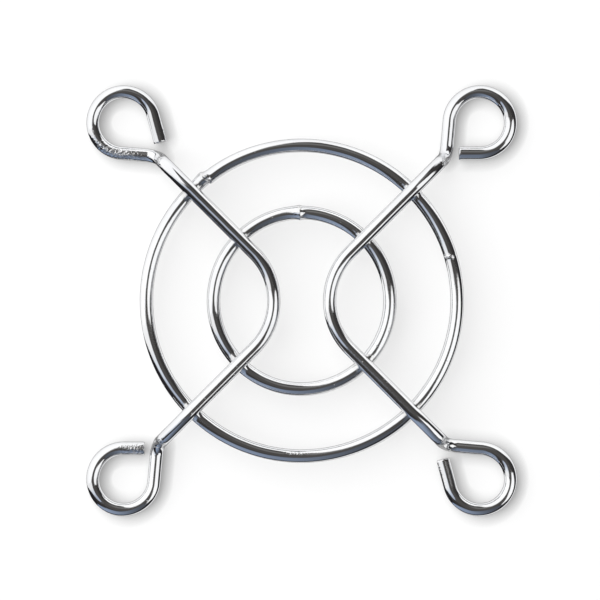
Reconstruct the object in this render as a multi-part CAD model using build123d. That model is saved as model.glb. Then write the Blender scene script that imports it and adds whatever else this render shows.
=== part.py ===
from build123d import *
import os
from math import cos, radians, sin, sqrt, tan

# Wire finger guard for a 40 mm fan, in millimetres and degrees.
# Two closed rings are spot welded under two V-shaped struts. Each end of a strut
# steps down and curls into an open eye for a fixing screw, and the guard is seated
# on its four eyes. The origin is the middle of the screw pattern on that seat, with
# Z up and the fan below.

# Driving dimensions
wire_dia = 1.2
screw_spacing = 32.0        # between neighbouring screws, square pattern
overall_height = 3.75       # from the seat to the top of the struts
outer_ring_dia = 27.8       # to the middle of the wire
inner_ring_dia = 15.8       # to the middle of the wire
nose_bend = 5.4             # inside radius at the point of each V
eye_hole_dia = 4.3          # clear hole inside the eye
eye_opening = 100.0         # part of the turn that the eye leaves open
eye_throat = 0.45           # slit between the cut end and the wire coming in
lead_turn = 40.0            # how far the wire turns off the leg into its eye
dip_share = 0.36            # part of the way down that is done by the gentle dip
dip_slope = 28.0            # how steeply a leg dips before the step
dip_straight = 0.2          # straight wire left between the dip and the step
step_slope = 58.0           # steepness of the step from the dip down to the seat
head_bend = 0.6             # inside radius at the top of the step
foot_bend = 0.9             # inside radius at the foot of the step
weld_set_down = 0.12        # how far a strut is pressed into a ring
weld_bead_dia = 1.0         # metal squeezed out round a crossing
upset_height = 0.06         # swelling where a ring's two ends are butt welded
outer_joint_angle = 128.0   # where the outer ring is closed, from +X
inner_joint_angle = 90.0    # where the inner ring is closed, from +X
end_break = 0.08            # burr taken off each cut end

# Sizes that follow
wire_radius = wire_dia / 2
eye_z = wire_radius
strut_z = overall_height - wire_radius
ring_z = strut_z - wire_dia + weld_set_down
weld_z = (strut_z + ring_z) / 2
eye_reach = screw_spacing / sqrt(2)
eye_radius = (eye_hole_dia + wire_dia) / 2
nose_radius = nose_bend + wire_radius
head_radius = head_bend + wire_radius
foot_radius = foot_bend + wire_radius
dip_drop = dip_share * (strut_z - eye_z)
step_drop = strut_z - eye_z - dip_drop

# The dip is one slow bend that takes up all the room between the leg and the head
dip_length = dip_drop / sin(radians(dip_slope))
head_setback = head_radius * tan(radians(step_slope - dip_slope) / 2)
dip_setback = dip_length - head_setback - dip_straight
dip_radius = dip_setback / tan(radians(dip_slope) / 2)


def polar(radius, angle, height):
    return Vector(radius * cos(radians(angle)), radius * sin(radians(angle)), height)


# A leg is laid out along +X, with its eye centred at eye_reach. The wire dips, turns
# steeply down at the head and reaches the seat at the foot. From there it runs straight
# to the tangent point of the eye and clockwise round the screw to its straight tail.
def lay_out_leg():
    centre = Vector(eye_reach, 0, eye_z)
    foot_reach = eye_reach - eye_radius / sin(radians(lead_turn))
    foot = Vector(foot_reach, 0, eye_z)
    head = foot + Vector(-step_drop / tan(radians(step_slope)), 0, step_drop)
    dip = head + Vector(-dip_drop / tan(radians(dip_slope)), 0, dip_drop)

    eye_wrap = 360 - eye_opening
    enter_angle = 90 + lead_turn
    leave_angle = enter_angle - eye_wrap
    tangent = centre + polar(eye_radius, enter_angle, 0)
    halfway = centre + polar(eye_radius, enter_angle - eye_wrap / 2, 0)
    leave = centre + polar(eye_radius, leave_angle, 0)

    # The tail stops short of the wire coming in by the throat, measured from the
    # nearer corner of its square end.
    skew = radians(eye_opening - 90)
    span = eye_radius * (1 - cos(radians(eye_opening)))
    tail = (span - wire_radius * (1 + abs(sin(skew))) - eye_throat) / cos(skew)
    tip = leave + polar(tail, leave_angle - 90, 0)
    return dip, head, foot, tangent, halfway, leave, tip


def turned(points, angle):
    return [point.rotate(Axis.Z, angle) for point in points]


def strut_path(first_angle, second_angle):
    dip, head, foot, tangent, halfway, leave, tip = lay_out_leg()
    nose = Vector(0, 0, strut_z)
    first = turned([tangent, foot, head, dip], first_angle)
    second = turned([dip, head, foot, tangent], second_angle)
    way_down = [dip_radius, head_radius, foot_radius]
    bends = [*reversed(way_down), nose_radius, *way_down]
    body = FilletPolyline(*first, nose, *second, radius=bends)

    first_eye = turned([tip, leave, halfway, tangent], first_angle)
    second_eye = turned([tangent, halfway, leave, tip], second_angle)
    opening = Line(first_eye[0], first_eye[1]) + ThreePointArc(*first_eye[1:])
    closing = ThreePointArc(*second_eye[:3]) + Line(second_eye[2], second_eye[3])
    return Wire(opening.edges() + body.edges() + closing.edges())


# The place where a ring crosses the leg that runs out at the given angle. Inside the
# nose's bend the wire has left the diagonal, so the crossing is found on its arc.
def crossing(ring_radius, leg_angle, nose_angle):
    if ring_radius >= nose_radius:
        return polar(ring_radius, leg_angle, weld_z)
    across = (ring_radius**2 + nose_radius**2) / (2 * sqrt(2) * nose_radius)
    along = sqrt(ring_radius**2 - across**2)
    side = 1 if sin(radians(leg_angle - nose_angle)) > 0 else -1
    return Vector(across, side * along, weld_z).rotate(Axis.Z, nose_angle)


# A ring is one closed wire, swollen a little where its ends were pressed together.
def make_ring(ring_dia, joint_angle):
    ring = Torus(ring_dia / 2, wire_radius)
    upset = Rot(90, 0, 0) * Sphere(wire_radius + upset_height)
    ring += Rot(0, 0, joint_angle) * Pos(ring_dia / 2, 0, 0) * upset
    return Pos(0, 0, ring_z) * ring


def make_strut(nose_angle, rings):
    leg_angles = [nose_angle - 45, nose_angle + 45]
    path = strut_path(*leg_angles)
    section = Plane(origin=path @ 0, z_dir=path % 0) * Circle(wire_radius)
    strut = sweep(section, path=path)
    strut = chamfer(strut.faces().filter_by(GeomType.PLANE).edges(), end_break)
    for ring_dia in (outer_ring_dia, inner_ring_dia):
        for leg_angle in leg_angles:
            place = crossing(ring_dia / 2, leg_angle, nose_angle)
            strut += Pos(place) * Sphere(weld_bead_dia / 2)
    return strut - rings


outer_ring = make_ring(outer_ring_dia, outer_joint_angle)
inner_ring = make_ring(inner_ring_dia, inner_joint_angle)
rings = [outer_ring, inner_ring]

nodes = {
    "outer_ring": outer_ring,
    "inner_ring": inner_ring,
    "left_strut": make_strut(180, rings),
    "right_strut": make_strut(0, rings),
}

os.makedirs("parts", exist_ok=True)
for name, solid in nodes.items():
    export_step(solid, f"parts/{name}.step")
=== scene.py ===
from math import acos, ceil, cos, pi, radians, sin, sqrt, tan
import bmesh
import bpy
import numpy as np
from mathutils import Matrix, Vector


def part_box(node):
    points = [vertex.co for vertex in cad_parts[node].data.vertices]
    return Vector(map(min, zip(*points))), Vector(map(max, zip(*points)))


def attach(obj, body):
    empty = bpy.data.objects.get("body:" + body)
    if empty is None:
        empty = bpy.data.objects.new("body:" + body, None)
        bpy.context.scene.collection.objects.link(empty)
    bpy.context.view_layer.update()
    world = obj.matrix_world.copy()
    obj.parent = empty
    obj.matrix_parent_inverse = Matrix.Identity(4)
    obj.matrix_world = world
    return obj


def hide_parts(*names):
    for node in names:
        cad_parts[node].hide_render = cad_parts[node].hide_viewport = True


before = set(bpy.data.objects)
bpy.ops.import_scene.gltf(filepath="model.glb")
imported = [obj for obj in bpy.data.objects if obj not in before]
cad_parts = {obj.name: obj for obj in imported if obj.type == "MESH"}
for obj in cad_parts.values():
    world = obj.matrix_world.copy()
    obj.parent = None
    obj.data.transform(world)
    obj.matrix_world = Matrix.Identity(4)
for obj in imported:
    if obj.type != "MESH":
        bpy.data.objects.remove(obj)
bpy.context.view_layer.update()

# Wire finger guard for a small fan: two rings spot welded under two V struts whose
# ends curl into open screw eyes. Lengths are in metres, +Z up, fan side down.

mm = 0.001
up = np.array([0.0, 0.0, 1.0])

# The wire itself, and how finely its surface is worked out
wire = dict(
    radius=0.6 * mm,
    around=56,              # points round the wire
    spacing=0.12 * mm,      # between sections along it
    ripple=0.0025,          # share of the radius by which the drawn wire varies
    waves=(2.1 * mm, 3.7 * mm, 6.4 * mm, 11 * mm),      # how long those variations are
    samePoint=1e-8,         # points nearer than this are one point
)
turns = np.linspace(0, 2 * pi, wire["around"], endpoint=False)


def tubeGrid(centres, sides, rises, radii):
    # A point of the surface is the centre of its section, plus the radius there along
    # side * cos(turn) + rise * sin(turn), for every section and every turn at once.
    normals = (np.cos(turns)[None, :, None] * sides[:, None, :]
               + np.sin(turns)[None, :, None] * rises[:, None, :])
    return centres[:, None, :] + radii[:, :, None] * normals, normals


def drawnRadius(along, seed):
    # The radius of drawn wire: a few long slow waves along it and round it, summed.
    draw = np.random.default_rng(seed)
    wave = np.zeros((len(along), len(turns)))
    for length in wire["waves"]:
        phase, turnPhase = draw.uniform(0, 2 * pi, 2)
        lobes = draw.integers(1, 4)
        wave += (np.sin(2 * pi * along / length + phase)[:, None]
                 * np.cos(lobes * turns + turnPhase)[None, :])
    return wire["radius"] * (1 + wire["ripple"] * wave / 2)


def makePiece(name, grid, along, closed, marks):
    # The grid of points becomes one mesh of quads, wrapped round the wire, and from its
    # last section to its first where the wire is closed. Marks are values per point.
    rows, columns = grid.shape[:2]
    index = np.arange(rows * columns).reshape(rows, columns)
    here = index if closed else index[:-1]
    ahead = np.roll(index, -1, axis=0) if closed else index[1:]
    quads = np.stack([here, np.roll(here, -1, axis=1), np.roll(ahead, -1, axis=1), ahead],
                     axis=-1)
    mesh = bpy.data.meshes.new(name)
    mesh.from_pydata(grid.reshape(-1, 3).tolist(), [], quads.reshape(-1, 4).tolist())

    # Along the wire in millimetres, and round it from 0 to 1
    spans = np.append(along, along[-1] + wire["spacing"]) / mm
    first = np.repeat(spans[:len(here)], columns)
    second = np.repeat(spans[1:len(here) + 1], columns)
    left = np.tile(np.arange(columns) / columns, len(here))
    right = left + 1 / columns
    uvs = np.stack([first, left, first, right, second, right, second, left], axis=-1)
    mesh.uv_layers.new(name="alongWire").data.foreach_set("uv", uvs.ravel())
    for mark, values in marks.items():
        mesh.attributes.new(mark, "FLOAT", "POINT").data.foreach_set("value", values.ravel())

    shape = bmesh.new()
    shape.from_mesh(mesh)
    bmesh.ops.remove_doubles(shape, verts=shape.verts, dist=wire["samePoint"])
    bmesh.ops.recalc_face_normals(shape, faces=shape.faces)
    shape.to_mesh(mesh)
    shape.free()
    mesh.shade_smooth()
    piece = bpy.data.objects.new(name, mesh)
    bpy.context.scene.collection.objects.link(piece)
    return piece


# Sizes that both rings and struts need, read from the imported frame
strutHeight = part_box("left_strut")[1].z - wire["radius"]


def ringSize(node):
    # The circle in the middle of its wire: half the ring's width less the wire's radius,
    # and the height half way between its lowest and highest points.
    low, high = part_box(node)
    return (high.x - low.x) / 2 - wire["radius"], (high.z + low.z) / 2


rings = {node: ringSize(node) for node in ("outer_ring", "inner_ring")}
legAngles = np.radians([45, 135, 225, 315])

# How the metal has run where two wires cross
weld = dict(
    reach=0.50 * mm,        # how far from the other wire the melted metal runs
    uneven=0.35,            # share by which one corner gets more metal than the next
    unevenEast=0.9 * mm,    # how soon that changes from place to place
    unevenNorth=1.3 * mm,
    heat=0.75 * mm,         # how far the dulled plating runs
    farAway=1.0,            # the distance where there is no other wire
)


def gapToRings(points):
    # Distance to a ring's surface: out of its centre circle, less the wire's radius.
    reach = np.hypot(points[..., 0], points[..., 1])
    gaps = [np.hypot(reach - radius, points[..., 2] - height) - wire["radius"]
            for radius, height in rings.values()]
    return np.minimum(*gaps)


def gapToLegs(points):
    # Distance to a leg's surface: off the straight line that runs out at its angle,
    # less the wire's radius, and only on the side where the leg lies.
    east, north, height = points[..., 0, None], points[..., 1, None], points[..., 2, None]
    across = east * np.sin(legAngles) - north * np.cos(legAngles)
    out = east * np.cos(legAngles) + north * np.sin(legAngles)
    gaps = np.hypot(across, height - strutHeight) - wire["radius"]
    return np.where(out > 0, gaps, weld["farAway"]).min(axis=-1)


def swellToWeld(points, normals, gaps):
    # Two surfaces melt into a fillet when each rises by (reach - gap)^2 / (4 reach)
    # wherever it is nearer to the other wire than the reach.
    place = points[..., 0] / weld["unevenEast"] + points[..., 1] / weld["unevenNorth"]
    reach = weld["reach"] * (1 + weld["uneven"] * np.sin(place))
    gaps = np.clip(gaps, 0, None)
    rise = np.clip(reach - gaps, 0, None) ** 2 / (4 * reach)
    heat = np.exp(-gaps ** 2 / (2 * (weld["heat"] / 2) ** 2))
    return points + rise[..., None] * normals, heat


# Where the bending tools have bitten: the piece, how far along it in millimetres (from
# its end where below 0) and round it in degrees, how far the mark runs each way, and how
# deep it is as a share of the deepest
toolMarks = [
    ("leftStrut", 14.3, 108, 1.9, 40, 0.55),
    ("leftStrut", 0.5, 180, 0.9, 45, 0.4),
    ("leftStrut", 19.3, 90, 0.30, 55, 1.0),
    ("leftStrut", -19.3, 90, 0.30, 55, 1.0),
    ("leftStrut", -0.8, 60, 1.0, 80, 0.30),
    ("rightStrut", 0.6, 190, 0.8, 35, 0.4),
    ("rightStrut", 19.3, 90, 0.30, 55, 1.0),
    ("rightStrut", -19.3, 90, 0.30, 55, 1.0),
    ("outerRing", 4.05, 100, 0.15, 50, 0.3),
    ("outerRing", 65.0, 110, 0.9, 14, 0.25),
]


def bitten(name, along):
    # The sum of bell curves, one for each mark, that meet themselves round the wire.
    total = np.zeros((len(along), len(turns)))
    for pieceName, place, facing, length, width, depth in toolMarks:
        if pieceName == name:
            place = place * mm if place > 0 else along[-1] + place * mm
            apart = np.degrees(np.arccos(np.cos(turns - radians(facing))))
            total += (np.exp(-((along - place) / (length * mm)) ** 2)[:, None]
                      * np.exp(-(apart / width) ** 2)[None, :] * depth)
    return np.clip(total, 0, 1)


# How each ring is closed, with angles in degrees
ringJoints = {
    "outer_ring": dict(
        name="outerRing",
        angle=128,              # where it is closed, from +X
        flash=0.13 * mm,        # how far the squeezed metal stands out
        width=0.30 * mm,        # and how far it runs along the wire
        crown=30,               # which way round the wire it stands out most
        rest=0.35,              # its share on the side away from there
        blunt=2.0,              # 1 is a sharp top and 2 a round one
        crack=0.16 * mm,        # how deep the ends still stand apart
        offset=0.12 * mm,       # how far they are out of line
        lean=-0.5,              # how much further the metal runs one way than the other
        seed=11,
    ),
    "inner_ring": dict(
        name="innerRing", angle=91.2, flash=0.17 * mm, width=0.28 * mm, crown=95, rest=-0.10,
        blunt=1.2, crack=0.0, offset=0.03 * mm, lean=-0.30, seed=12,
    ),
}

# What both joints share
butt = dict(
    finer=1.4,              # a ring's sections, for each that its length needs
    gather=0.7,             # how strongly they gather at the joint
    slipAcross=0.12 * mm,   # length over which one end's line passes to the other's
    slipAlong=1.6 * mm,     # length in which each end comes back on the circle
    least=0.25,             # width of the metal on the side away from its crown
    ragged=0.10 * mm,       # how far the crack wanders
    wanders=3,              # and how many times in its way round
    open=0.09 * mm,         # half its width
    crownless=1.1,          # it runs out just short of the crown
    bare=0.16 * mm,         # depth at which it shows bare steel
    heat=0.5,               # how far the plating is dulled there
    bite=0.06,              # and how rough it is
)


def makeRing(node, joint):
    # A circle of wire, with its sections closer together near its butt weld. There the
    # two ends are a little out of line, the flash stands up as a curve that falls off by
    # e^-(distance^blunt), widest at its crown, and its middle may be cracked.
    radius, height = rings[node]
    count = ceil(butt["finer"] * 2 * pi * radius / wire["spacing"])
    even = np.linspace(-pi, pi, count, endpoint=False)
    fromJoint = even - butt["gather"] * np.sin(even)
    angles = fromJoint + radians(joint["angle"])
    outward = np.stack([np.cos(angles), np.sin(angles), np.zeros(count)], axis=-1)
    fromJoint = fromJoint * radius
    along = angles * radius
    slip = (np.tanh(fromJoint / butt["slipAcross"])
            * np.exp(-np.abs(fromJoint) / butt["slipAlong"]))
    centres = outward * (radius + joint["offset"] / 2 * slip)[:, None] + up * height
    radii = drawnRadius(along, joint["seed"])

    crown = (1 + np.cos(turns - radians(joint["crown"])))[None, :] / 2
    spread = joint["width"] * (butt["least"] + crown)
    leaning = 1 + joint["lean"] * np.sign(fromJoint)[:, None]
    distance = np.abs(fromJoint[:, None]) * leaning
    share = joint["rest"] + (1 - joint["rest"]) * crown
    flash = np.exp(-(distance / spread) ** joint["blunt"]) * share
    ragged = butt["ragged"] * np.sin(butt["wanders"] * turns + 1)[None, :]
    crack = (np.exp(-((fromJoint[:, None] + ragged) / butt["open"]) ** 2)
             * (butt["crownless"] - crown))
    radii = radii + joint["flash"] * flash - joint["crack"] * crack

    grid, normals = tubeGrid(centres, outward, np.tile(up, (count, 1)), radii)
    grid, heat = swellToWeld(grid, normals, gapToLegs(grid))
    marks = dict(weldHeat=np.maximum(heat, butt["heat"] * flash),
                 toolMark=np.maximum(butt["bite"] * flash, bitten(joint["name"], along)),
                 cutFace=np.clip(crack * joint["crack"] / butt["bare"], 0, 1))
    piece = makePiece(joint["name"], grid, along, True, marks)
    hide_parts(node)
    return piece


strut = dict(
    screwSpacing=32 * mm,
    noseBend=6.0 * mm,          # bend radii are to the middle of the wire
    headBend=1.2 * mm,
    footBend=1.5 * mm,
    eyeBend=2.75 * mm,
    eyeThroat=0.45 * mm,        # slit between the cut end and the wire coming in
    leadTurn=radians(40),       # turn off the leg into the eye
    dipShare=0.36,              # part of the way down that is done by the gentle dip
    dipSlope=radians(28),
    dipStraight=0.2 * mm,       # left between the dip and the step
    stepSlope=radians(58),
    pinch=0.035,                # share of the radius that a bend is flattened by
)

# How a cut end closes: distance along the wire in millimetres and share of the radius,
# from the middle of the face to where the wire is whole again
cutProfile = np.array([
    (0.030, 0.00), (0.026, 0.22), (0.018, 0.44), (0.006, 0.66), (0.0, 0.82),
    (0.004, 0.88), (0.020, 0.935), (0.048, 0.975), (0.090, 0.995), (0.130, 1.0),
])
bareShare = 0.9             # inside this share of the radius the face is bare steel


def turnAbout(vectors, axis, angles):
    # Rodrigues: v cos + (axis x v) sin + axis (axis . v)(1 - cos), for every angle.
    c, s = np.cos(angles)[:, None], np.sin(angles)[:, None]
    return vectors * c + np.cross(axis, vectors) * s + axis * (axis @ vectors) * (1 - c)


def bendWire(runs, start, heading):
    # Walks the wire as a bender does. Each run is a length with a turn about an axis,
    # and on a turn the middle of the wire follows radius * (sin, 1 - cos).
    position = start
    side = np.cross(up, heading)
    rise = up
    walked = 0.0
    kept = []
    for length, angle, axis in runs:
        count = max(ceil(length / wire["spacing"]), 2)
        steps = np.linspace(0, length, count + 1)
        angles = steps / length * angle
        headings = turnAbout(heading, axis, angles)
        if angle:
            inward = np.cross(axis, heading)
            radius = length / angle
            places = (position + radius * (np.sin(angles)[:, None] * heading
                                           + (1 - np.cos(angles))[:, None] * inward))
            # From a turn of one radian on, a bend is flattened in full
            bent = np.sin(pi * steps / length) * min(abs(angle), 1.0)
        else:
            places = position + steps[:, None] * heading
            bent = np.zeros(count + 1)
        kept.append((places, headings, turnAbout(side, axis, angles),
                     turnAbout(rise, axis, angles), walked + steps, bent))
        position, heading = places[-1], headings[-1]
        side, rise = kept[-1][2][-1], kept[-1][3][-1]
        walked += length
    # The last section of each run is the first of the next
    return [np.concatenate([run[k][:-1] for run in kept] + [kept[-1][k][-1:]])
            for k in range(len(kept[0]))]


def filletRuns(corners, bends):
    # Straight runs between corners, shortened at each by radius * tan(half the turn),
    # with an arc of that radius in between.
    runs = []
    legs = np.diff(corners, axis=0)
    lengths = np.linalg.norm(legs, axis=1)
    ways = legs / lengths[:, None]
    trimmed = 0.0
    for k, bend in enumerate(bends):
        turn = acos(np.clip(ways[k] @ ways[k + 1], -1, 1))
        axis = np.cross(ways[k], ways[k + 1])
        axis = axis / np.linalg.norm(axis)
        trim = bend * tan(turn / 2)
        runs.append((lengths[k] - trimmed - trim, 0.0, axis))
        runs.append((bend * turn, turn, axis))
        trimmed = trim
    runs.append((lengths[-1] - trimmed, 0.0, axis))
    return runs


# The legs of each strut: the way they run out, and the part of the turn that their eye
# leaves open, which differs a little from eye to eye as the tails spring back
legs = dict(
    leftStrut=[(radians(135), radians(110)), (radians(225), radians(95))],
    rightStrut=[(radians(-45), radians(110)), (radians(45), radians(95))],
)


def layOutLeg(angle, opening):
    # One leg laid out along +X and then turned: the corners of its way down, then where
    # the wire meets the eye, where it leaves it, and the tip of its tail. A slope runs
    # out by its drop / tan(slope), and the wire comes to the eye on a tangent.
    seat = wire["radius"]
    reach = strut["screwSpacing"] / sqrt(2)
    bend = strut["eyeBend"]
    dipDrop = strut["dipShare"] * (strutHeight - seat)
    stepDrop = strutHeight - seat - dipDrop
    foot = reach - bend / sin(strut["leadTurn"])
    head = foot - stepDrop / tan(strut["stepSlope"])
    dip = head - dipDrop / tan(strut["dipSlope"])
    enter = pi / 2 + strut["leadTurn"]
    leave = enter - (2 * pi - opening)
    skew = opening - pi / 2
    span = bend * (1 - cos(opening))
    tail = (span - seat * (1 + abs(sin(skew))) - strut["eyeThroat"]) / cos(skew)

    def placed(east, north, height):
        # Turned about +Z by the leg's angle.
        return np.array([east * cos(angle) - north * sin(angle),
                         east * sin(angle) + north * cos(angle), height])

    def onEye(around, past=0.0):
        # Round the middle of the eye by an angle, then straight on clockwise.
        return placed(reach + bend * cos(around) + past * sin(around),
                      bend * sin(around) - past * cos(around), seat)

    return dict(dip=placed(dip, 0, strutHeight), head=placed(head, 0, seat + stepDrop),
                foot=placed(foot, 0, seat), enter=onEye(enter), leave=onEye(leave),
                tip=onEye(leave, tail), tail=tail, wrap=2 * pi - opening)


def strutRuns(firstLeg, secondLeg):
    # Tail, eye, way down, leg, nose, leg, way down, eye and tail, as one bent wire. The
    # dip is one slow bend that takes up all the room between the leg and the head.
    first, second = layOutLeg(*firstLeg), layOutLeg(*secondLeg)
    headSetback = strut["headBend"] * tan((strut["stepSlope"] - strut["dipSlope"]) / 2)
    dipLength = np.linalg.norm(first["dip"] - first["head"])
    dipBend = (dipLength - headSetback - strut["dipStraight"]) / tan(strut["dipSlope"] / 2)
    wayDown = ["dip", "head", "foot", "enter"]
    corners = np.array([first[key] for key in reversed(wayDown)] + [[0, 0, strutHeight]]
                       + [second[key] for key in wayDown])
    bends = [dipBend, strut["headBend"], strut["footBend"]]
    runs = [(first["tail"], 0.0, up), (strut["eyeBend"] * first["wrap"], first["wrap"], up)]
    runs += filletRuns(corners, [*reversed(bends), strut["noseBend"], *bends])
    runs += [(strut["eyeBend"] * second["wrap"], second["wrap"], -up),
             (second["tail"], 0.0, up)]
    heading = (first["leave"] - first["tip"]) / first["tail"]
    return runs, first["tip"], heading


def withCutEnds(places, headings, sides, rises, along, bent):
    # The first and last sections give way to those of the cut profile, which keep the
    # direction of the end and have the profile's share of the radius.
    run, share = cutProfile[:, 0] * mm, cutProfile[:, 1]
    whole = (along > run[-1]) & (along < along[-1] - run[-1])
    count = len(run)

    def joined(values, atStart, atEnd):
        return np.concatenate([atStart, values[whole], atEnd])

    def ends(values):
        return joined(values, np.repeat(values[:1], count, axis=0),
                      np.repeat(values[-1:], count, axis=0))

    starts = places[0] + run[:, None] * headings[0]
    stops = places[-1] - run[::-1, None] * headings[-1]
    shares = joined(np.ones(len(along)), share, share[::-1])
    bare = (share < bareShare).astype(float)
    faces = joined(np.zeros(len(along)), bare, bare[::-1])
    walked = joined(along, run, along[-1] - run[::-1])
    return (joined(places, starts, stops), ends(sides), ends(rises), walked, ends(bent),
            shares, faces)


def makeStrut(name, node, seed):
    # The bent wire with its cut ends, flattened a little inside and outside its bends.
    bentWire = bendWire(*strutRuns(*legs[name]))
    places, sides, rises, along, bent, shares, faces = withCutEnds(*bentWire)
    radii = drawnRadius(along, seed)
    radii = radii * (1 - strut["pinch"] * bent[:, None] * np.cos(turns)[None, :] ** 2)
    radii = radii * shares[:, None]
    grid, normals = tubeGrid(places, sides, rises, radii)
    grid, heat = swellToWeld(grid, normals, gapToRings(grid))
    cut = np.repeat(faces[:, None], len(turns), axis=1)
    marks = dict(weldHeat=heat, toolMark=bitten(name, along), cutFace=cut)
    piece = makePiece(name, grid, along, False, marks)
    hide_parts(node)
    return piece


class Value:
    # A socket of a node tree. Sums on it are written in Python and become Math nodes.
    def __init__(self, tree, socket=None):
        self.tree = tree
        self.socket = socket

    def make(self, kind, settings=None, inputs=None, output=0):
        # Makes any node: its settings first, then the values or links of its sockets.
        node = self.tree.nodes.new(kind)
        for key, value in (settings or {}).items():
            if key == "stops":
                ramp = node.color_ramp.elements
                ramp.remove(ramp[1])
                ramp[0].position, ramp[0].color = value[0]
                for place, colour in value[1:]:
                    ramp.new(place).color = colour
            else:
                setattr(node, key, value)
        for key, value in (inputs or {}).items():
            if isinstance(value, Value):
                self.tree.links.new(value.socket, node.inputs[key])
            else:
                node.inputs[key].default_value = value
        return Value(self.tree, node.outputs[output] if node.outputs else None)

    def sums(self, operation, *others):
        # One Math node, with this and the others as its inputs.
        return self.make("ShaderNodeMath", dict(operation=operation),
                         dict(enumerate((self, *others))))

    def __add__(self, other):
        return self.sums("ADD", other)

    def __mul__(self, other):
        return self.sums("MULTIPLY", other)

    def __sub__(self, other):
        return self.sums("SUBTRACT", other)

    def __rsub__(self, other):
        return (self * -1) + other

    def __truediv__(self, other):
        return self.sums("DIVIDE", other)

    __radd__ = __add__
    __rmul__ = __mul__

    def between(self, low, high):
        # 0 below low and 1 above high, with a smooth rise, or the other way round where
        # low is the higher of the two.
        return self.make("ShaderNodeMapRange", dict(interpolation_type="SMOOTHSTEP"),
                         {"Value": self, "From Min": low, "From Max": high})

    def blend(self, low, high):
        # The colour low where this is 0, and high where it is 1. A Mix node has its two
        # colours in sockets 6 and 7 and gives the mixed one in 2.
        return self.make("ShaderNodeMix", dict(data_type="RGBA"),
                         {0: self, 6: low, 7: high}, output=2)


def newTree(owner):
    owner.use_nodes = True
    owner.node_tree.nodes.clear()
    return Value(owner.node_tree)


# Colours, how far stains take them over, how dull it all is, and how deep the marks are
plating = dict(
    bright=(0.83, 0.835, 0.845, 1),
    shade=(0.76, 0.765, 0.78, 1),
    scorched=(0.60, 0.585, 0.565, 1),
    steel=(0.46, 0.45, 0.44, 1),
    weldStain=0.7,          # how far each stain takes the colour over
    pitStain=0.5,
    cutStain=0.75,
    roughness=0.06,
    smear=0.05,             # added where it has been handled
    lineDull=0.03,          # and on drawn lines, welds, pits, cut ends and bites
    weldDull=0.10,
    pitDull=0.2,
    cutDull=0.30,
    biteDull=0.10,
    lineDepth=0.0016 * mm,
    peelDepth=0.006 * mm,
    pitDepth=0.010 * mm,
    weldDepth=0.03 * mm,
    biteDepth=0.26 * mm,
)

# How fine each pattern is, and the two levels between which it comes in
grain = dict(
    stretch=0.11,           # draws the lines out along the wire
    lines=9.0,
    peel=620.0,
    patches=170.0,
    smears=900.0,
    specks=1900.0,
    bites=4800.0,
    lineLevels=(0.5, 0.75),
    smearLevels=(0.35, 0.65),
    speckLevels=(0.16, 0.06),
    pittedLevels=(0.56, 0.64),
    brightLevels=(0.35, 0.65),
    handledLevels=(0.45, 0.7),
)


def platedWire():
    material = bpy.data.materials.new("platedWire")
    tree = newTree(material)

    # Along the wire in millimetres and a point on a unit circle round it, so that the
    # drawn lines follow the wire and close on themselves.
    lay = tree.make("ShaderNodeUVMap", dict(uv_map="alongWire"))
    along = lay.make("ShaderNodeSeparateXYZ", inputs={0: lay}, output="X")
    turn = lay.make("ShaderNodeSeparateXYZ", inputs={0: lay}, output="Y") * (2 * pi)
    drawn = tree.make("ShaderNodeCombineXYZ", inputs={
        0: along * grain["stretch"], 1: turn.sums("COSINE"), 2: turn.sums("SINE")})
    inSpace = tree.make("ShaderNodeTexCoord", output="Object")

    def cloud(coordinates, name, detail, roughness=0.5):
        # Noise of the size that the grain gives it.
        return tree.make("ShaderNodeTexNoise", inputs={
            "Vector": coordinates, "Scale": grain[name], "Detail": detail,
            "Roughness": roughness})

    lines = cloud(drawn, "lines", detail=4, roughness=0.65)
    peel = cloud(inSpace, "peel", detail=2)
    patches = cloud(inSpace, "patches", detail=3)
    smears = cloud(inSpace, "smears", detail=5, roughness=0.6)
    bites = cloud(inSpace, "bites", detail=2)
    specks = tree.make("ShaderNodeTexVoronoi", output="Distance", inputs={
        "Vector": inSpace, "Scale": grain["specks"]})
    pits = specks.between(*grain["speckLevels"]) * patches.between(*grain["pittedLevels"])

    heat = tree.make("ShaderNodeAttribute", dict(attribute_name="weldHeat"), output="Fac")
    cut = tree.make("ShaderNodeAttribute", dict(attribute_name="cutFace"), output="Fac")
    tool = tree.make("ShaderNodeAttribute", dict(attribute_name="toolMark"), output="Fac")
    burnt = heat * smears.between(*grain["smearLevels"])

    colour = patches.between(*grain["brightLevels"]).blend(plating["shade"], plating["bright"])
    colour = (burnt * plating["weldStain"]).blend(colour, plating["scorched"])
    colour = (pits * plating["pitStain"]).blend(colour, plating["scorched"])
    colour = (cut * plating["cutStain"]).blend(colour, plating["steel"])

    roughness = (plating["roughness"]
                 + patches.between(*grain["handledLevels"]) * plating["smear"]
                 + lines.between(*grain["lineLevels"]) * plating["lineDull"]
                 + burnt * plating["weldDull"] + pits * plating["pitDull"]
                 + cut * plating["cutDull"] + tool * plating["biteDull"])

    height = (lines * plating["lineDepth"] + peel * plating["peelDepth"]
              - pits * plating["pitDepth"] + burnt * smears * plating["weldDepth"]
              + tool * bites * plating["biteDepth"])
    bump = tree.make("ShaderNodeBump", inputs={
        "Height": height, "Strength": 1.0, "Distance": 1.0})
    shader = tree.make("ShaderNodeBsdfPrincipled", inputs={
        "Base Color": colour, "Metallic": 1.0, "Roughness": roughness, "Normal": bump})
    tree.make("ShaderNodeOutputMaterial", inputs={"Surface": shader})
    return material


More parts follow.
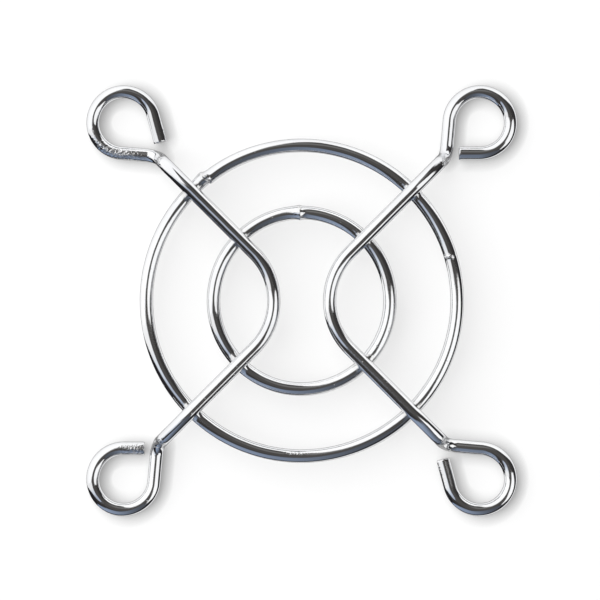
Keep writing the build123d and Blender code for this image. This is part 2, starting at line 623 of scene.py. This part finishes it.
# What the plating mirrors. Each line runs round the studio as an azimuth from +X and an
# angle from straight up, in degrees. A thing shows between its two lines, and the white
# sweep everywhere under its own.
skylines = dict(
    white=[(0, 112), (10, 108), (20, 103), (30, 90), (38, 72), (46, 60), (62, 57), (76, 61),
           (84, 66), (91, 58), (98, 40), (110, 24), (130, 13), (150, 10), (172, 12), (181, 18),
           (187, 30), (189, 60), (191, 165), (225, 165), (240, 152), (255, 138), (272, 122),
           (290, 112), (305, 111), (330, 117), (345, 118), (360, 112)],
    eastTop=[(0, 16), (6, 22), (9, 42), (11, 90), (308, 90), (310, 47), (316, 43), (321, 40),
             (326, 34), (332, 20), (345, 15), (360, 16)],
    eastBottom=[(0, 62), (9, 52), (11, 20), (308, 20), (310, 57), (316, 62), (322, 74),
                (332, 82), (345, 79), (354, 70), (360, 62)],
    southWestTop=[(0, 90), (185, 90), (187, 34), (191, 26), (196, 24), (203, 22), (212, 18),
                  (221, 11), (225, 15), (227, 90), (360, 90)],
    southWestBottom=[(0, 20), (185, 20), (187, 172), (188, 172), (193, 135), (198, 96),
                     (204, 68), (213, 52), (222, 41), (226, 30), (227, 10), (360, 10)],
    wallTop=[(0, 120), (222, 118), (229, 88), (235, 72), (240, 58), (250, 47), (258, 42),
             (272, 28), (288, 18), (300, 20), (312, 60), (318, 120), (360, 120)],
    wallBottom=[(0, 60), (218, 60), (226, 140), (240, 125), (255, 112), (270, 99), (290, 83),
                (305, 70), (312, 62), (318, 60), (360, 60)],
)
# Half the blur of their edges, in degrees
softness = dict(white=6, east=5, southWest=5, wall=9)
# And the colours of what stands there
surfaces = dict(
    background=(1, 1, 1, 1),
    plain=(0.60, 0.60, 0.60, 1),        # the light on all that isn't a mirror
    overhead=(0.084, 0.080, 0.077, 1),
    shade=(0.046, 0.043, 0.042, 1),
    deep=(0.018, 0.018, 0.021, 1),
    wallNear=(0.30, 0.37, 0.50, 1),
    wallFar=(0.090, 0.100, 0.120, 1),
    haze=(0.18, 0.176, 0.172, 1),
    window=(0.82, 0.88, 0.96, 1),
    windowFar=(0.50, 0.56, 0.68, 1),
    # painted shadow: the sweep straight below, darkened for the wire's shade on the floor
    shadowUnderWire=(0.30, 0.30, 0.30, 1),
    eastWindow=(1.18, 1.18, 1.18, 1),
    sheet=(1.06, 1.06, 1.06, 1),
    panel=(1.25, 1.25, 1.25, 1),
)

# Where one surface passes to the next: degrees round from +X, and from straight up
fadesRound = dict(haze=(48, 80), hazeEnd=(135, 105), wall=(235, 300), window=(196, 206),
                  windowFar=(204, 216))
fadesDown = dict(shade=(12, 50), deep=(62, 88), haze=(8, 18), hazeEnd=(48, 38),
                 sheet=(70, 125), shadowUnderWire=(124, 158))


def makeWorld():
    # The angle from straight up is arccos(z), and the azimuth atan2(y, x), as a share of
    # the whole turn.
    world = bpy.data.worlds.new("studio")
    bpy.context.scene.world = world
    tree = newTree(world)
    way = tree.make("ShaderNodeTexCoord", output="Generated")
    east = way.make("ShaderNodeSeparateXYZ", inputs={0: way}, output="X")
    north = way.make("ShaderNodeSeparateXYZ", inputs={0: way}, output="Y")
    height = way.make("ShaderNodeSeparateXYZ", inputs={0: way}, output="Z")
    polar = height.sums("ARCCOSINE") * (180 / pi)
    around = (north * -1).sums("ARCTAN2", east * -1) / (2 * pi) + 0.5

    def fadeRound(name):
        # From 0 to 1 between two azimuths, or back where the first is the larger.
        first, last = fadesRound[name]
        return around.between(first / 360, last / 360)

    def fadeDown(name):
        # The same between two angles from straight up.
        return polar.between(*fadesDown[name])

    def below(line, soft):
        # 1 under a skyline. Its azimuths and angles run from 0 to 1 inside the ramp.
        stops = [(azimuth / 360, (angle / 180,) * 3 + (1,))
                 for azimuth, angle in skylines[line]]
        edge = tree.make("ShaderNodeValToRGB", dict(stops=stops), inputs={0: around}) * 180
        return polar.between(edge - soft, edge + soft)

    def strip(name):
        # 1 between the two skylines of a thing.
        soft = softness[name]
        return below(name + "Top", soft) * (1 - below(name + "Bottom", soft))

    picture = fadeDown("shade").blend(surfaces["overhead"], surfaces["shade"])
    picture = fadeDown("deep").blend(picture, surfaces["deep"])
    haze = fadeRound("haze") * fadeRound("hazeEnd") * fadeDown("haze") * fadeDown("hazeEnd")
    picture = haze.blend(picture, surfaces["haze"])
    wall = fadeRound("wall").blend(surfaces["wallNear"], surfaces["wallFar"])
    picture = strip("wall").blend(picture, wall)
    window = fadeRound("windowFar").blend(surfaces["window"], surfaces["windowFar"])
    window = fadeRound("window").blend(surfaces["sheet"], window)
    picture = strip("southWest").blend(picture, window)
    picture = strip("east").blend(picture, surfaces["eastWindow"])
    white = fadeDown("sheet").blend(surfaces["panel"], surfaces["sheet"])
    # Painted shadow: nearly straight down, the mirrored sweep darkens as the floor under the
    # wire
    white = fadeDown("shadowUnderWire").blend(white, surfaces["shadowUnderWire"])
    picture = below("white", softness["white"]).blend(picture, white)

    # The picture is for mirrors alone
    mirrored = tree.make("ShaderNodeLightPath", output="Is Glossy Ray")
    seen = tree.make("ShaderNodeLightPath", output="Is Camera Ray")
    plain = seen.blend(surfaces["plain"], surfaces["background"])
    light = tree.make("ShaderNodeBackground", inputs={
        "Color": mirrored.blend(plain, picture), "Strength": 1.0})
    tree.make("ShaderNodeOutputWorld", inputs={"Surface": light})


keyLight = dict(azimuth=154, fromUp=52, distance=3.0, size=6.0, watts=165)
floorPlan = dict(
    size=12.0,
    aside=1.0,                  # keeps the line between its two triangles off the object
    white=(0.90, 0.90, 0.90, 1),
    dark=(0, 0, 0, 1),
    # The painted contact shade in the floor's colour: how far it reaches, how dark it gets,
    # and its side
    contactReach=1.25 * mm,     # shorter than the gap under the rings
    paintedShadeDepth=0.66,
    contactSide=166,            # azimuth of the light that the wire keeps off
    contactSamples=8,
)


def towardLight(azimuth, fromUp):
    # The way up to a light: sin(fromUp) (cos, sin) of its azimuth, and cos(fromUp).
    return np.array([sin(radians(fromUp)) * cos(radians(azimuth)),
                     sin(radians(fromUp)) * sin(radians(azimuth)), cos(radians(fromUp))])


def makeFloor():
    # One flat square, whose colour carries the wire's contact shade as painted shade.
    half = floorPlan["size"] / 2
    west, east = floorPlan["aside"] - half, floorPlan["aside"] + half
    mesh = bpy.data.meshes.new("floor")
    mesh.from_pydata([(west, -half, 0), (east, -half, 0), (east, half, 0), (west, half, 0)],
                     [], [(0, 1, 2, 3)])
    floor = bpy.data.objects.new("floor", mesh)
    bpy.context.scene.collection.objects.link(floor)
    material = bpy.data.materials.new("paleFloor")
    tree = newTree(material)
    # Painted shade in the floor's colour, where wire lying near on the light's side keeps it
    # off
    facing = tree.make("ShaderNodeCombineXYZ", inputs=dict(enumerate(
        float(part) for part in towardLight(floorPlan["contactSide"], keyLight["fromUp"]))))
    clear = tree.make("ShaderNodeAmbientOcclusion", dict(samples=floorPlan["contactSamples"]),
                      inputs={"Distance": floorPlan["contactReach"], "Normal": facing},
                      output="AO")
    paintedShadeLevel = 1 - (1 - clear) * floorPlan["paintedShadeDepth"]
    colour = paintedShadeLevel.blend(floorPlan["dark"], floorPlan["white"])
    lit = tree.make("ShaderNodeBsdfDiffuse", inputs={"Color": colour})
    tree.make("ShaderNodeOutputMaterial", inputs={"Surface": lit})
    mesh.materials.append(material)
    floor.visible_glossy = False


def makeLamp():
    # One wide soft disk that faces the origin.
    data = bpy.data.lights.new("keyLight", "AREA")
    data.shape = "DISK"
    data.size = keyLight["size"]
    data.energy = keyLight["watts"]
    lamp = bpy.data.objects.new("keyLight", data)
    lamp.location = keyLight["distance"] * towardLight(keyLight["azimuth"], keyLight["fromUp"])
    lamp.rotation_euler = (0, radians(keyLight["fromUp"]), radians(keyLight["azimuth"]))
    lamp.visible_glossy = False
    bpy.context.scene.collection.objects.link(lamp)


# Straight overhead. The origin lies a little right of and below the picture's middle.
view = dict(
    width=53.76 * mm,           # what the picture takes in
    focus=1.5 * mm,             # the height at which it does
    lens=300,                   # the camera has this and its sensor in millimetres
    sensor=36,
    nearest=0.01,
    originRight=0.161 * mm,
    originDown=0.072 * mm,
)


def makeCamera():
    # Far enough up for the lens to take in the view: width * lens / sensor.
    data = bpy.data.cameras.new("overhead")
    data.sensor_fit = "HORIZONTAL"
    data.sensor_width = view["sensor"]
    data.lens = view["lens"]
    data.clip_start = view["nearest"]
    camera = bpy.data.objects.new("overhead", data)
    distance = view["width"] * view["lens"] / view["sensor"]
    camera.location = (-view["originRight"], view["originDown"], distance + view["focus"])
    bpy.context.scene.collection.objects.link(camera)
    bpy.context.scene.camera = camera


finish = platedWire()
print("plating mixed")
pieces = [makeRing(node, joint) for node, joint in ringJoints.items()]
print("rings bent and welded shut")
pieces.append(makeStrut("leftStrut", "left_strut", seed=21))
pieces.append(makeStrut("rightStrut", "right_strut", seed=22))
print("struts bent")
for piece in pieces:
    piece.data.materials.append(finish)
    # Bright plating throws back the room's light that it takes from the floor, so the
    # floor has only the lamp's shadow and the contact shade painted into its colour
    piece.visible_diffuse = False
    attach(piece, "root")
makeFloor()
makeWorld()
makeLamp()
makeCamera()
bpy.context.scene.view_settings.view_transform = "Standard"
print("studio ready")
